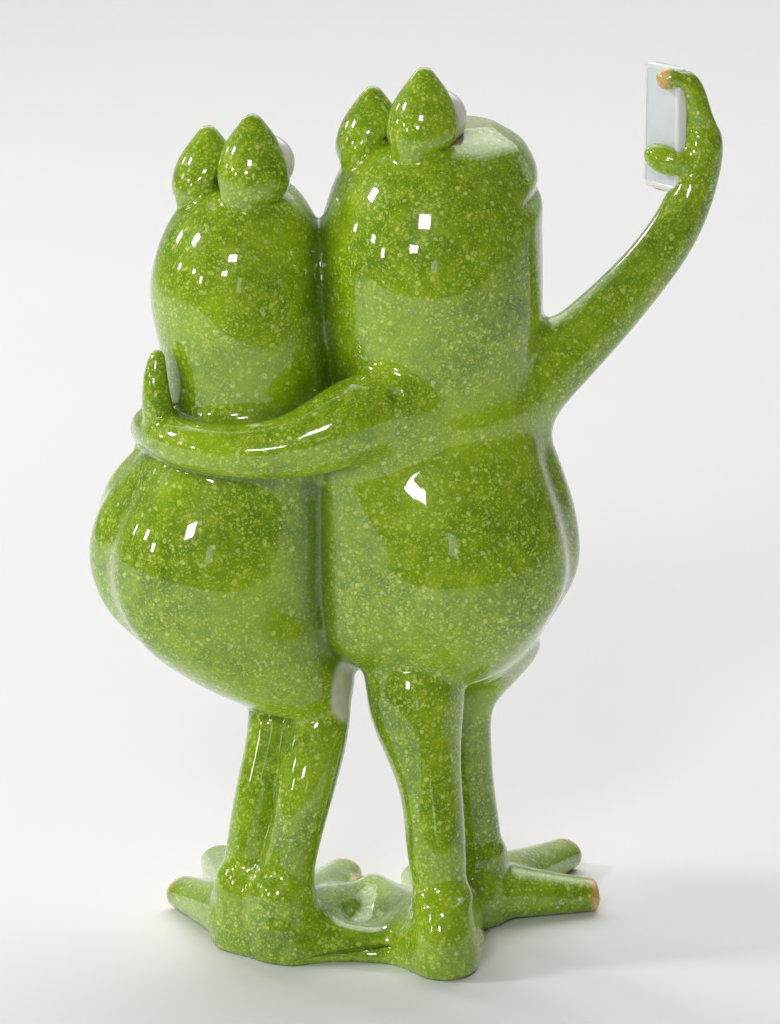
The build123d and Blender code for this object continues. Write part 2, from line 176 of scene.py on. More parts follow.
def sample(values, low, points, outside):
    """Trilinear reading of a block of the grid at points in metres."""
    place = points / VOXEL - low
    cell = np.floor(place).astype(int)
    size = np.array(values.shape)
    inside = np.all((cell >= 0) & (cell < size - 1), axis=1)
    result = np.full(len(points), outside, np.float32)
    c = cell[inside]
    t = (place[inside] - c).astype(np.float32)
    total = np.zeros(len(c), np.float32)
    for i in (0, 1):
        for j in (0, 1):
            for k in (0, 1):
                weight = (
                    (t[:, 0] if i else 1 - t[:, 0])
                    * (t[:, 1] if j else 1 - t[:, 1])
                    * (t[:, 2] if k else 1 - t[:, 2])
                )
                total += weight * values[c[:, 0] + i, c[:, 1] + j, c[:, 2] + k]
    result[inside] = total
    return result


def merge(field, window, values, radius):
    """Joins a casting to the body so far, with a fillet of about the given radius."""
    old = field[window]
    near = np.clip(1 - np.abs(old - values) / radius, 0, None)
    field[window] = np.minimum(old, values) - near * near * (radius / 4)


def blurred(field, reach, rounds=2):
    """Box average over a few cells each way, repeated."""
    for _ in range(rounds):
        for axis in range(3):
            before = np.repeat(field.take([0], axis), reach + 1, axis)
            after = np.repeat(field.take([-1], axis), reach, axis)
            padded = np.concatenate([before, field, after], axis)
            sums = np.cumsum(padded, axis, dtype=np.float64)
            n = field.shape[axis]
            ahead = np.take(sums, range(2 * reach + 1, 2 * reach + 1 + n), axis)
            behind = np.take(sums, range(0, n), axis)
            field = ((ahead - behind) / (2 * reach + 1)).astype(np.float32)
    return field


skin_names = [n for n in frame["nodes"] if not n.endswith(("_eyeball", "_pin", "_wire")) and n != "phone"]
castings = {n: Casting(n) for n in frame["nodes"] if not n.endswith("_eyeball") and n != "phone"}


def coordinates(window):
    """Positions in metres along the three sides of a window of the grid, ready to combine."""
    sides = [(np.arange(s.start, s.stop) + low) * VOXEL for s, low in zip(window, grid_low)]
    return np.ix_(*sides)


def sphere_of(node):
    """Centre and radius of the ball that a node was cut from."""
    shape, _ = node_mesh(node)
    table = np.column_stack([2 * shape, np.ones(len(shape))])
    for _ in range(4):
        answer = np.linalg.lstsq(table, (shape**2).sum(axis=1), rcond=None)[0]
        radius = np.sqrt(answer[3] + answer[:3] @ answer[:3])
        miss = np.abs(np.linalg.norm(shape - answer[:3], axis=1) - radius)
        keep = miss < max(2e-5, np.quantile(miss, 0.7))
        shape, table = shape[keep], table[keep]
    return answer[:3], radius


eyeballs = {n: sphere_of(n) for n in frame["nodes"] if n.endswith("_eyeball")}


def frog_field(name):
    """One frog: torso and head flow together, limbs are filleted on, eyelids keep their crease."""
    field = np.full(tuple(grid_size), BAND, np.float32)
    order = [("torso", FLOW), ("head", FLOW)]
    far_leg = LIMB if name == "tall_frog" else FOLD
    order += [("left_leg", FOLD), ("right_leg", far_leg), ("left_foot", FOOT), ("right_foot", FOOT)]
    order += [("raised_arm", LIMB), ("left_arm", LIMB), ("right_arm", LIMB)]
    order += [("left_eyelid", LID_CREASE), ("right_eyelid", LID_CREASE)]
    for part, radius in order:
        casting = castings.get(f"{name}_{part}")
        if not casting:
            continue
        values = casting.values
        if part.endswith("eyelid"):
            # An eyelid is solid as far as its ball, and draws in towards the head below its widest part
            centre, ball = eyeballs[casting.name.replace("eyelid", "eyeball")]
            x, y, z = coordinates(casting.window())
            far = np.sqrt((x - centre[0]) ** 2 + (y - centre[1]) ** 2 + (z - centre[2]) ** 2)
            core = far - ball + LID_COVER
            above = np.clip(field[casting.window()], 0, None)
            drawn = np.minimum(values, core) + LID_DRAW * np.exp(-((above / LID_DRAW_HEIGHT) ** 2))
            # Its spigot still fills the hole in the head
            shape, _ = node_mesh(casting.name)
            spigot = shape[shape[:, 2] < shape[:, 2].min() + SPIGOT_END].mean(axis=0)
            rod = np.sqrt((x - spigot[0]) ** 2 + (y - spigot[1]) ** 2) - SPIGOT_RADIUS
            values = np.minimum(drawn, np.maximum(values, rod))
        merge(field, casting.window(), values, radius)
    for casting in castings.values():
        if casting.name.startswith(name) and casting.name.endswith(("_pin", "_wire")):
            merge(field, casting.window(), casting.values, CREASE)
    return field


def step(low, high, value):
    """Smooth step from 0 at low to 1 at high."""
    t = np.clip((value - low) / (high - low), 0, 1)
    return t * t * (3 - 2 * t)


def box_of(node):
    low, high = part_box(node)
    return np.array(low), np.array(high)


tall_field, short_field = frog_field("tall_frog"), frog_field("short_frog")

# Where the two bodies press together their flanks bulge towards each other, and a thin rod closes the crease
low, high = box_of("tall_frog_torso")
rise = high[2] - low[2]
for field, node, x, y, radius, top, blend in (
    (tall_field, "tall_frog_torso", low[0] + 0.0068, -0.0050, 0.0080, 0.75, FLOW),
    (short_field, "short_frog_torso", low[0] - 0.0056, -0.0030, 0.0072, 0.75, FLOW),
    (tall_field, "tall_frog_torso", low[0] - 0.0006, -0.0048, 0.0036, 0.90, CREASE),
):
    window = castings[node].window()
    side_x, side_y, side_z = coordinates(window)
    above = side_z - np.clip(side_z, low[2] + FLANK_START * rise, low[2] + top * rise)
    rod = np.sqrt((side_x - x) ** 2 + (side_y - y) ** 2 + above**2) - radius
    merge(field, window, rod, blend)

skin = tall_field.copy()
merge(skin, tuple(slice(0, n) for n in skin.shape), short_field, PAIR)
merge(skin, castings["foot_pad"].window(), castings["foot_pad"].values, FOOT)

# The shorter frog's hip is drawn in a little above its legs
hip_low, hip_high = box_of("short_frog_torso")
window = castings["short_frog_torso"].window()
side_x, side_y, side_z = coordinates(window)
hip_x = hip_low[0] + 0.62 * (hip_high[0] - hip_low[0])
hip_z = hip_low[2] + 0.08 * (hip_high[2] - hip_low[2])
reach = ((side_x - hip_x) ** 2 + (side_z - hip_z) ** 2) / HIP_REACH**2
skin[window] += HIP_DEPTH * np.exp(-reach / 2) * step(0.002, -0.006, side_y)

# The hugging arm flows out of the taller frog's shoulder and lies on the shorter frog with a crease
arm = castings["tall_frog_hugging_arm"]
flowing = step(low[0], low[0] + 0.3 * (high[0] - low[0]), coordinates(arm.window())[0])
merge(skin, arm.window(), arm.values, CREASE + (LIMB - CREASE) * flowing)

GAZE_TURN = radians(39)
gaze = np.array([sin(GAZE_TURN), cos(GAZE_TURN), 0])
gaze_right = np.array([cos(GAZE_TURN), -sin(GAZE_TURN), 0])


def carve_flanks(torso, back_share, depth, width):
    """The soft valley down each flank, between the rounded back and the fuller belly."""
    low, high = box_of(torso)
    middle, half = (low + high) / 2, (high - low) / 2
    window = castings[torso].window()
    x, y, z = coordinates(window)
    across = np.abs(x - middle[0]) / half[0]
    rise = (z - low[2]) / (high[2] - low[2])
    valley = np.exp(-(((y - middle[1]) / half[1] + back_share) * half[1] / width) ** 2)
    between = step(0.10, 0.30, rise) * step(0.92, 0.70, rise)
    skin[window] += depth * valley * step(0.35, 0.75, across) * between


def carve_face(head, mouth_share, tilt, corner, other):
    """The wide mouth line round the front of a head, with soft lips, and two nostrils above it."""
    low, high = box_of(head)
    middle = (low + high) / 2
    height = high[2] - low[2]
    window = castings[head].window()
    x, y, z = coordinates(window)
    dx, dy = x - middle[0], y - middle[1]
    ahead = dx * gaze[0] + dy * gaze[1]
    facing = ahead / np.maximum(np.sqrt(dx * dx + dy * dy), VOXEL)
    from_mouth = z - (low[2] + mouth_share * height + tilt * ahead)
    front = step(corner, corner + 0.25, facing) * step(0.0010, 0.0045, other[window])
    line = MOUTH_DEPTH * np.exp(-((from_mouth / MOUTH_WIDTH) ** 2))
    lips = LIP_RISE * np.exp(-(((np.abs(from_mouth) - LIP_AWAY) / LIP_WIDTH) ** 2))
    skin[window] += (line - lips) * front
    for side in (-1, 1):
        way = gaze * cos(NOSTRIL_TURN) + side * gaze_right * sin(NOSTRIL_TURN)
        steps = np.linspace(0, 0.030, 240)
        rise = low[2] + (mouth_share + 0.105) * height
        ray = np.array([middle[0], middle[1], rise]) + steps[:, None] * way
        ray[:, 2] += tilt * steps * 0.8
        outside = np.argmax(sample(skin, grid_low, ray, BAND) > 0)
        nostril = ray[outside]
        far = np.sqrt((x - nostril[0]) ** 2 + (y - nostril[1]) ** 2 + ((z - nostril[2]) * 0.8) ** 2)
        skin[window] = np.maximum(skin[window], NOSTRIL_RADIUS - far)


def back_spot(x, z):
    """Point of the skin that is met first from behind, at a place across and a height."""
    y = np.arange(cad_low[1], cad_high[1], VOXEL / 2)
    line = np.column_stack([np.full(len(y), x), y, np.full(len(y), z)])
    return line[np.argmax(sample(skin, grid_low, line, BAND) < 0)]


def press_dent(spot, radius):
    """A small round dent with a raised rim."""
    first = np.floor((spot - 4 * radius) / VOXEL).astype(int) - grid_low
    last = np.ceil((spot + 4 * radius) / VOXEL).astype(int) - grid_low
    window = tuple(slice(int(a), int(b)) for a, b in zip(first, last))
    side_x, side_y, side_z = coordinates(window)
    far = np.sqrt((side_x - spot[0]) ** 2 + (side_y - spot[1]) ** 2 + (side_z - spot[2]) ** 2)
    rim = 0.35 * radius * np.exp(-(((far - 1.5 * radius) / (0.5 * radius)) ** 2))
    skin[window] = np.maximum(skin[window] - rim, radius - far)


low, high = box_of("tall_frog_hugging_arm")
press_dent(back_spot(high[0] - 0.0062, box_of("tall_frog_torso")[1][2] - 0.0006), 0.0013)
carve_flanks("tall_frog_torso", 0.26, 0.0015, 0.0046)
carve_flanks("short_frog_torso", 0.38, 0.0021, 0.0050)
carve_face("tall_frog_head", 0.74, 0.20, 0.02, short_field)
carve_face("short_frog_head", 0.72, 0.20, 0.02, tall_field)
skin = blurred(skin, 1, 1)
# The feet stand flat on the floor
height = coordinates(tuple(slice(0, n) for n in skin.shape))[2]
skin = np.maximum(skin, cad_low[2] - height).astype(np.float32)

grid = openvdb.FloatGrid(BAND)
grid.copyFromArray(skin, ijk=tuple(int(i) for i in grid_low))
grid.transform = openvdb.createLinearTransform(voxelSize=VOXEL)
points, quads = grid.convertToQuads(0.0)
points = np.array(points, np.float64)
quads = np.array(quads, np.int64)


def edge_table(faces):
    """Pairs of faces that share an edge."""
    sides = np.stack([faces, np.roll(faces, -1, axis=1)], axis=2).reshape(-1, 2)
    owner = np.repeat(np.arange(len(faces)), faces.shape[1])
    sides.sort(axis=1)
    order = np.lexsort((sides[:, 1], sides[:, 0]))
    same = np.all(sides[order][1:] == sides[order][:-1], axis=1)
    return owner[order][:-1][same], owner[order][1:][same]


def islands(count, first, second):
    """Number of the connected group that each face is in."""
    group = np.arange(count)
    while True:
        least = np.minimum(group[first], group[second])
        new = group.copy()
        np.minimum.at(new, first, least)
        np.minimum.at(new, second, least)
        new = new[new]
        new = new[new]
        if np.array_equal(new, group):
            return group
        group = new


def relaxed(points, faces, rounds):
    """Evens out the facets: each point moves to the mean of its neighbours and most of the way back."""
    sides = np.stack([faces, np.roll(faces, -1, axis=1)], axis=2).reshape(-1, 2)
    count = np.bincount(sides.ravel(), minlength=len(points))[:, None]
    for _ in range(rounds):
        for pull in (0.5, -0.52):
            total = np.stack(
                [
                    np.bincount(sides[:, 0], points[sides[:, 1], axis], len(points))
                    + np.bincount(sides[:, 1], points[sides[:, 0], axis], len(points))
                    for axis in range(3)
                ],
                axis=1,
            )
            points = points + pull * (total / count - points)
    return points


# Only the outer skin is kept
first, second = edge_table(quads)
group = islands(len(quads), first, second)
outer = group == np.bincount(group).argmax()
used, quads = np.unique(quads[outer], return_inverse=True)
points, quads = points[used], quads.reshape(-1, 4)
points = relaxed(points, quads, 6)
first, second = edge_table(quads)

slope = [np.gradient(skin, axis=axis).astype(np.float32) for axis in range(3)]
normals = np.stack([sample(s, grid_low, points, 0) for s in slope], axis=1)
del slope
normals /= np.maximum(np.linalg.norm(normals, axis=1, keepdims=True), 1e-9)

# Each face goes to the casting it lies nearest to, and stray islands go to the piece around them
centres = points[quads].mean(axis=1)
near = np.stack([castings[n].at(centres) for n in skin_names], axis=1)
owner = near.argmin(axis=1)
for _ in range(6):
    votes = np.zeros((len(quads), len(skin_names)), np.int16)
    np.add.at(votes, (first, owner[second]), 1)
    np.add.at(votes, (second, owner[first]), 1)
    votes[np.arange(len(quads)), owner] += 1
    owner = votes.argmax(axis=1)
for _ in range(4):
    joined = owner[first] == owner[second]
    group = islands(len(quads), first[joined], second[joined])
    sizes = np.bincount(group, minlength=len(quads))
    largest = {}
    for g in np.unique(group):
        name = owner[g]
        if name not in largest or sizes[g] > sizes[largest[name]]:
            largest[name] = g
    stray = ~np.isin(group, list(largest.values()))
    if not stray.any():
        break
    votes = np.zeros((len(quads), len(skin_names)), np.int16)
    for a, b in ((first, second), (second, first)):
        across = stray[a] & (group[a] != group[b])
        np.add.at(votes, (group[a[across]], owner[b[across]]), 1)
    owner = np.where(stray, votes[group].argmax(axis=1), owner)

# Painted shade darkening the hollows, and where it is sprayed cream, gilt or pink
hollow = blurred(skin, 5, 2)
pooled = step(0.0002, 0.0012, -sample(hollow, grid_low, points, 0))
del hollow


def toe_ends(foot):
    """The blunt ends of a foot's toes: flat upright faces square to the way from the heel."""
    shape, triangles = node_mesh(foot)
    heel = shape[shape[:, 2] > box_of(foot)[1][2] - 0.002].mean(axis=0)
    a, b, c = (shape[triangles[:, k]].astype(float) for k in range(3))
    square = np.cross(b - a, c - a) / 2
    area = np.linalg.norm(square, axis=1)
    square /= np.maximum(area, 1e-15)[:, None]
    middle = (a + b + c) / 3
    away = (middle - heel) * (1, 1, 0)
    far = np.linalg.norm(away, axis=1)
    facing = (square * away).sum(axis=1) / np.maximum(far, VOXEL)
    found = (np.abs(square[:, 2]) < 0.01) & (facing > 0.93) & (far > 0.4 * far.max())
    ends = []
    for way in np.unique(np.round(square[found], 3), axis=0):
        way = way / np.linalg.norm(way)
        mine = found & (square @ way > 0.9999)
        if area[mine].sum() > TOE_END_AREA:
            ends.append((np.average(middle[mine], axis=0, weights=area[mine]), way))
    return ends


gilt = np.zeros(len(points))
for foot in [n for n in skin_names if n.endswith("_foot")]:
    for tip, way in toe_ends(foot):
        near_tip = np.linalg.norm(points - tip, axis=1) < TOE_REACH
        gilt = np.maximum(gilt, near_tip * step(-0.0021, -0.0015, (points - tip) @ way))
# Finger tips of the raised hand: its parts furthest to the left above, behind and below the phone
low, high = box_of("phone")
middle = (low + high) / 2
shape, _ = node_mesh("tall_frog_raised_arm")
behind = shape[:, 1] > middle[1]
upper = shape[:, 2] > middle[2] - 0.25 * (high[2] - low[2])
for finger in (~behind & (shape[:, 2] > middle[2]), behind & upper, behind & ~upper & (shape[:, 2] > low[2])):
    tip = shape[finger][shape[finger][:, 0].argmin()]
    gilt = np.maximum(gilt, step(0.0040, 0.0030, np.linalg.norm(points - tip, axis=1)))

# Cream fronts: belly, throat and the inside of the thighs
cream = np.zeros(len(points))
piece_of_point = np.zeros(len(points), int)
piece_of_point[quads.ravel()] = np.repeat(owner, 4)
for index, name in enumerate(skin_names):
    mine = piece_of_point == index
    spot, turn = points[mine], normals[mine]
    low, high = box_of(name)
    middle, half = (low + high) / 2, (high - low) / 2
    if name.endswith(("_torso", "_head")):
        # The front turns from straight ahead at the belly to the way the face looks
        neck, crown = (corner[2] for corner in box_of(name.replace("torso", "head")))
        turned = step(neck, neck + 0.6 * (crown - neck), spot[:, 2])[:, None]
        way = turned * gaze + (1 - turned) * np.array([0, 1, 0])
        facing = (turn * way).sum(axis=1) / np.maximum(np.linalg.norm(turn[:, :2], axis=1), 0.05)
        cream[mine] = step(0.22, 0.58, facing / np.linalg.norm(way, axis=1))
    if name.endswith("_head"):
        below = low[2] + 0.70 * (high[2] - low[2]) + 0.20 * (spot - middle) @ gaze - spot[:, 2]
        cream[mine] *= step(-0.0005, 0.0030, below)
    elif name.endswith("_leg"):
        cream[mine] = step(0.35, 0.75, turn[:, 1]) * step(0.45, 0.75, (spot[:, 2] - low[2]) / (2 * half[2]))


# Painted shade: a dark band deep in the crease between the two frogs, on their backs
apart = sample(tall_field, grid_low, points, BAND) - sample(short_field, grid_low, points, BAND)
bodies = [i for i, n in enumerate(skin_names) if n.endswith(("_torso", "_head"))]
shade_weight = np.exp(-((apart / 0.0038) ** 2)) * np.isin(piece_of_point, bodies)
pooled = np.maximum(pooled, shade_weight * step(0.006, -0.004, points[:, 1]))

# A painted reflection: a pale patch in the cream paint on the shorter frog's hip, beside the taller frog's
# leg
low, high = box_of("short_frog_torso")
reflection_spot = back_spot(box_of("short_frog_right_leg")[1][0] - 0.0012, low[2] + 0.09 * (high[2] - low[2]))
reflection_reach = np.linalg.norm((points - reflection_spot) * (1, 0.6, 0.6), axis=1)
short_side = np.isin(piece_of_point, [i for i, n in enumerate(skin_names) if n.startswith("short_frog")])
cream = np.maximum(cream, short_side * step(0.0042, 0.0030, reflection_reach))


pink = np.zeros(len(points))
for name, (centre, radius) in eyeballs.items():
    lid = piece_of_point == skin_names.index(name.replace("eyeball", "eyelid"))
    pink = np.maximum(pink, lid * step(0.0016, 0.0006, np.linalg.norm(points - centre, axis=1) - radius))


def new_material(name):
    material = bpy.data.materials.new(name)
    material.use_nodes = True
    nodes, links = material.node_tree.nodes, material.node_tree.links
    return material, nodes, links, nodes["Principled BSDF"]


def add_node(nodes, kind, **settings):
    node = nodes.new(kind)
    for key, value in settings.items():
        if key.startswith("in_"):
            node.inputs[key[3:]].default_value = value
        else:
            setattr(node, key, value)
    return node


def mixed(nodes, links, factor, under, over):
    """Colour under covered by colour over, as far as the factor says."""
    mix = add_node(nodes, "ShaderNodeMix", data_type="RGBA")
    for socket, value in ((mix.inputs[0], factor), (mix.inputs[6], under), (mix.inputs[7], over)):
        if isinstance(value, (tuple, float)):
            socket.default_value = value
        else:
            links.new(value, socket)
    return mix.outputs[2]


def ramp(nodes, links, value, low, high):
    """A clamped straight rise of a value from 0 at low to 1 at high."""
    node = add_node(nodes, "ShaderNodeMapRange")
    node.inputs["From Min"].default_value = low
    node.inputs["From Max"].default_value = high
    links.new(value, node.inputs["Value"])
    return node.outputs["Result"]


def product(nodes, links, a, b):
    node = add_node(nodes, "ShaderNodeMath", operation="MULTIPLY")
    links.new(a, node.inputs[0])
    if isinstance(b, float):
        node.inputs[1].default_value = b
    else:
        links.new(b, node.inputs[1])
    return node.outputs[0]


def glaze_material():
    """Speckled green under a thick clear gloss: painted shade laid dark in hollows and in the crease, cream
    in front with a painted reflection on one hip, gilt at the tips.
    """
    material, nodes, links, shader = new_material("green_glaze")
    place = add_node(nodes, "ShaderNodeTexCoord").outputs["Object"]

    def noise(scale, detail, rough=0.5):
        node = add_node(nodes, "ShaderNodeTexNoise", in_Scale=scale, in_Detail=detail, in_Roughness=rough)
        links.new(place, node.inputs["Vector"])
        return node.outputs["Fac"]

    def painted(name):
        return add_node(nodes, "ShaderNodeAttribute", attribute_name=name).outputs["Fac"]

    def flecks(scale, share, size, hollow):
        """Round flecks of mixed sizes, in a share of the cells of a loose pattern; some are rings."""
        cells = add_node(nodes, "ShaderNodeTexVoronoi", in_Scale=scale)
        links.new(loose, cells.inputs["Vector"])
        chance = add_node(nodes, "ShaderNodeSeparateColor")
        links.new(cells.outputs["Color"], chance.inputs["Color"])
        size_here = add_node(nodes, "ShaderNodeMapRange")
        size_here.inputs["To Min"].default_value = 0.5 * size
        size_here.inputs["To Max"].default_value = size
        links.new(chance.outputs["Green"], size_here.inputs["Value"])
        away = add_node(nodes, "ShaderNodeMath", operation="DIVIDE")
        links.new(cells.outputs["Distance"], away.inputs[0])
        links.new(size_here.outputs["Result"], away.inputs[1])
        there = ramp(nodes, links, chance.outputs["Red"], share + 0.01, share - 0.01)
        fleck = product(nodes, links, ramp(nodes, links, away.outputs[0], 1.0, 0.72), there)
        ring = ramp(nodes, links, chance.outputs["Blue"], hollow + 0.01, hollow - 0.01)
        core = product(nodes, links, ramp(nodes, links, away.outputs[0], 0.70, 0.40), ring)
        kept = add_node(nodes, "ShaderNodeMath", operation="SUBTRACT", use_clamp=True)
        links.new(fleck, kept.inputs[0])
        links.new(product(nodes, links, core, 0.75), kept.inputs[1])
        return kept.outputs[0]

    # The fleck pattern is pulled about a little, so that flecks are not quite round
    drift = add_node(nodes, "ShaderNodeTexNoise", in_Scale=1300.0, in_Detail=1.0)
    links.new(place, drift.inputs["Vector"])
    pulled = add_node(nodes, "ShaderNodeVectorMath", operation="MULTIPLY_ADD")
    links.new(drift.outputs["Color"], pulled.inputs[0])
    pulled.inputs[1].default_value = (0.0006, 0.0006, 0.0006)
    links.new(place, pulled.inputs[2])
    loose = pulled.outputs[0]

    cloud = ramp(nodes, links, noise(55.0, 3.0), 0.35, 0.68)
    colour = mixed(nodes, links, cloud, (0.125, 0.250, 0.0010, 1), (0.275, 0.445, 0.0015, 1))
    mottle = ramp(nodes, links, noise(420.0, 3.0), 0.40, 0.66)
    colour = mixed(nodes, links, product(nodes, links, mottle, 0.45), colour, (0.400, 0.560, 0.0030, 1))
    crowd = add_node(nodes, "ShaderNodeMapRange")
    crowd.inputs["From Min"].default_value = 0.36
    crowd.inputs["From Max"].default_value = 0.60
    crowd.inputs["To Min"].default_value = 0.40
    links.new(noise(130.0, 2.0), crowd.inputs["Value"])
    crowd = crowd.outputs["Result"]
    fine = flecks(2100.0, 0.95, 0.42, 0.0)
    for layer, strength, paint in (
        (fine, 0.60, (0.54, 0.68, 0.070, 1)),
        (product(nodes, links, flecks(1350.0, 0.90, 0.46, 0.30), crowd), 0.64, (0.60, 0.74, 0.110, 1)),
        (product(nodes, links, flecks(950.0, 0.80, 0.42, 0.50), crowd), 0.64, (0.62, 0.76, 0.130, 1)),
        (flecks(640.0, 0.60, 0.36, 0.50), 0.66, (0.66, 0.80, 0.180, 1)),
    ):
        colour = mixed(nodes, links, product(nodes, links, layer, strength), colour, paint)
    # Painted shade: very dark green laid into the hollows and the crease between the frogs
    shade_weight = product(nodes, links, painted("pooled"), 0.72)
    colour = mixed(nodes, links, shade_weight, colour, (0.030, 0.085, 0.003, 1))
    # Cream paint, also used for the painted reflection on the shorter frog's hip
    ivory_and_reflection = mixed(nodes, links, mottle, (0.66, 0.66, 0.50, 1), (0.78, 0.78, 0.66, 1))
    colour = mixed(nodes, links, painted("cream"), colour, ivory_and_reflection)
    blush = mixed(nodes, links, fine, (0.72, 0.16, 0.14, 1), (0.80, 0.26, 0.22, 1))
    colour = mixed(nodes, links, painted("pink"), colour, blush)
    gold = mixed(nodes, links, mottle, (0.62, 0.38, 0.10, 1), (0.78, 0.55, 0.22, 1))
    colour = mixed(nodes, links, painted("gilt"), colour, gold)
    links.new(colour, shader.inputs["Base Color"])
    rough = add_node(nodes, "ShaderNodeMapRange")
    rough.inputs["To Min"].default_value = 0.30
    rough.inputs["To Max"].default_value = 0.42
    links.new(mottle, rough.inputs["Value"])
    links.new(rough.outputs["Result"], shader.inputs["Roughness"])
    wave = add_node(nodes, "ShaderNodeBump", in_Strength=0.25, in_Distance=0.00012)
    links.new(noise(170.0, 2.0), wave.inputs["Height"])
    links.new(wave.outputs["Normal"], shader.inputs["Coat Normal"])
    shader.inputs["Coat Weight"].default_value = 1.0
    shader.inputs["Coat Roughness"].default_value = 0.035
    shader.inputs["Coat IOR"].default_value = 1.64
    shader.inputs["Specular IOR Level"].default_value = 0.12
    return material


glaze = glaze_material()


def put(name, mesh, node=None):
    """Places a piece in the scene on the one rigid body, standing for its node."""
    thing = bpy.data.objects.new(name, mesh)
    bpy.context.scene.collection.objects.link(thing)
    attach(thing, "root")
    if node:
        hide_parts(node)
    return thing


for index, name in enumerate(skin_names):
    mine = quads[owner == index]
    used, faces = np.unique(mine, return_inverse=True)
    faces = faces.reshape(-1, 4)
    sides = np.stack([faces, np.roll(faces, -1, axis=1)], axis=2).reshape(-1, 2)
    code = sides[:, 0] * len(used) + sides[:, 1]
    open_sides = sides[~np.isin(code, sides[:, 1] * len(used) + sides[:, 0])]
    rim, places = np.unique(open_sides, return_inverse=True)
    places = places.reshape(-1, 2) + len(used)
    walls = np.column_stack([open_sides[:, ::-1], places])
    sunk = used[rim]
    shape = bmesh.new()
    all_points = np.concatenate([points[used], points[sunk] - SEAM * normals[sunk]])
    corners = [shape.verts.new(p) for p in all_points]
    for face in np.concatenate([faces, walls]):
        shape.faces.new([corners[i] for i in face])
    rims = [e for e in shape.edges if e.is_boundary]
    for cap in bmesh.ops.holes_fill(shape, edges=rims, sides=0)["faces"]:
        edge = cap.loops[0].edge
        other = [loop for loop in edge.link_loops if loop.face != cap][0]
        if other.vert == cap.loops[0].vert:
            cap.normal_flip()
    used = np.concatenate([used, sunk])
    mesh = bpy.data.meshes.new(name + "_skin")
    shape.to_mesh(mesh)
    shape.free()
    mesh.shade_smooth()
    for label, values in (("pooled", pooled), ("cream", cream), ("gilt", gilt), ("pink", pink)):
        layer = mesh.attributes.new(label, "FLOAT", "POINT")
        layer.data.foreach_set("value", values[used].astype(np.float32))
    mesh.normals_split_custom_set_from_vertices(normals[used].astype(np.float32))
    mesh.materials.append(glaze)
    put(name + "_skin", mesh, name)


def eye_material():
    """Gloss white ball with a thin black ring and a black pupil, by how far a point looks ahead."""
    material, nodes, links, shader = new_material("eye_white")
    ahead = add_node(nodes, "ShaderNodeAttribute", attribute_name="ahead").outputs["Fac"]
    place = add_node(nodes, "ShaderNodeTexCoord").outputs["Object"]
    veins = add_node(nodes, "ShaderNodeTexNoise", in_Scale=700.0, in_Detail=3.0)
    links.new(place, veins.inputs["Vector"])
    white = mixed(nodes, links, veins.outputs["Fac"], (0.84, 0.83, 0.78, 1), (0.92, 0.92, 0.90, 1))
    ink = (0.004, 0.004, 0.004, 1)
    colour = mixed(nodes, links, ramp(nodes, links, ahead, 0.560, 0.570), white, ink)
    colour = mixed(nodes, links, ramp(nodes, links, ahead, 0.610, 0.620), colour, white)
    colour = mixed(nodes, links, ramp(nodes, links, ahead, 0.870, 0.880), colour, ink)
    links.new(colour, shader.inputs["Base Color"])
    shader.inputs["Roughness"].default_value = 0.25
    shader.inputs["Coat Weight"].default_value = 1.0
    shader.inputs["Coat Roughness"].default_value = 0.03
    return material


eye_paint = eye_material()
for name, (centre, radius) in eyeballs.items():
    shape = bmesh.new()
    bmesh.ops.create_uvsphere(shape, u_segments=64, v_segments=40, radius=radius)
    mesh = bpy.data.meshes.new(name + "_ball")
    shape.to_mesh(mesh)
    shape.free()
    spots = np.empty(len(mesh.vertices) * 3, np.float32)
    mesh.vertices.foreach_get("co", spots)
    spots = spots.reshape(-1, 3)
    look = gaze + np.array([0, 0, 0.15])
    look /= np.linalg.norm(look)
    layer = mesh.attributes.new("ahead", "FLOAT", "POINT")
    layer.data.foreach_set("value", (spots @ look / radius).astype(np.float32))
    mesh.vertices.foreach_set("co", (spots + centre).astype(np.float32).ravel())
    mesh.shade_smooth()
    mesh.materials.append(eye_paint)
    put(name + "_ball", mesh, name)


def plain_material(name, dark, light, scale, roughness, metallic=0.0, coat=0.0):
    """A finish whose colour and gloss drift a little over the surface."""
    material, nodes, links, shader = new_material(name)
    place = add_node(nodes, "ShaderNodeTexCoord").outputs["Object"]
    drift = add_node(nodes, "ShaderNodeTexNoise", in_Scale=scale, in_Detail=4.0)
    links.new(place, drift.inputs["Vector"])
    links.new(mixed(nodes, links, drift.outputs["Fac"], dark, light), shader.inputs["Base Color"])
    rough = add_node(nodes, "ShaderNodeMapRange")
    rough.inputs["To Min"].default_value = roughness * 0.8
    rough.inputs["To Max"].default_value = roughness * 1.2
    links.new(drift.outputs["Fac"], rough.inputs["Value"])
    links.new(rough.outputs["Result"], shader.inputs["Roughness"])
    shader.inputs["Metallic"].default_value = metallic
    shader.inputs["Coat Weight"].default_value = coat
    shader.inputs["Coat Roughness"].default_value = 0.04
    return material


steel = plain_material("wire_steel", (0.42, 0.42, 0.43, 1), (0.60, 0.60, 0.61, 1), 900.0, 0.35, 1.0)
for name, node in frame["nodes"].items():
    if name.endswith(("_pin", "_wire")):
        node.data.materials.clear()
        node.data.materials.append(steel)


